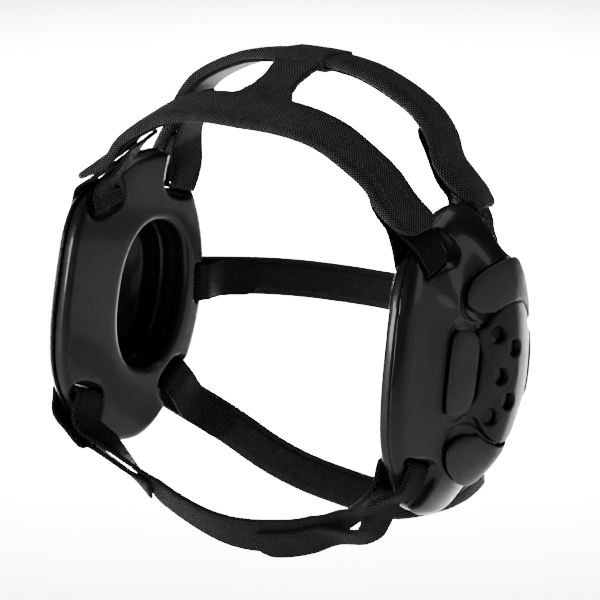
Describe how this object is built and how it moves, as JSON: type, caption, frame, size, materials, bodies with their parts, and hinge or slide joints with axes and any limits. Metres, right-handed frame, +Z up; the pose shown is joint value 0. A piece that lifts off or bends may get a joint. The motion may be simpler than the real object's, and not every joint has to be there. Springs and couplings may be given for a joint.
{
  "type": "wrestling ear guard",
  "caption": "Padded wrestling ear guard: moulded cups over each ear, held by crown, nape and chin straps, with gel pads and a vented plate on each cup.",
  "frame": {"origin": "midway between the two ear openings, on the line through the ears, in the middle of the wearer's head", "axes": "+X to the wearer's left, +Y to the wearer's rear, +Z up, so the wearer faces -Y"},
  "size_m": [0.237, 0.161, 0.2449],
  "materials": {
    "cup_shell": "smooth moulded foam skin, satin to glossy",
    "ear_pad": "smooth moulded foam skin, satin",
    "vent_plate": "fine-textured moulded plastic",
    "gel_pad": "soft matt gel skin",
    "strap_cover": "knitted spacer mesh with bound edges",
    "strap_lining": "smooth bonded lining with a welded edge",
    "webbing": "open woven webbing"
  },
  "bodies": {
    "root": {"chin_strap": "webbing", "crown_front_lining": "strap_lining", "crown_front_strap": "strap_cover", "crown_front_tail_left": "webbing", "crown_front_tail_right": "webbing", "crown_rear_lining": "strap_lining", "crown_rear_strap": "strap_cover", "crown_rear_tail_left": "webbing", "crown_rear_tail_right": "webbing", "left_cup_shell": "cup_shell", "left_ear_pad": "ear_pad", "left_gel_front": "gel_pad", "left_gel_lower": "gel_pad", "left_gel_rear": "gel_pad", "left_gel_upper": "gel_pad", "left_vent_plate": "vent_plate", "nape_lower_lining": "strap_lining", "nape_lower_strap": "strap_cover", "nape_lower_tail_left": "webbing", "nape_lower_tail_right": "webbing", "nape_upper_lining": "strap_lining", "nape_upper_strap": "strap_cover", "nape_upper_tail_left": "webbing", "nape_upper_tail_right": "webbing", "right_cup_shell": "cup_shell", "right_ear_pad": "ear_pad", "right_gel_front": "gel_pad", "right_gel_lower": "gel_pad", "right_gel_rear": "gel_pad", "right_gel_upper": "gel_pad", "right_vent_plate": "vent_plate"}
  },
  "joints": []
}
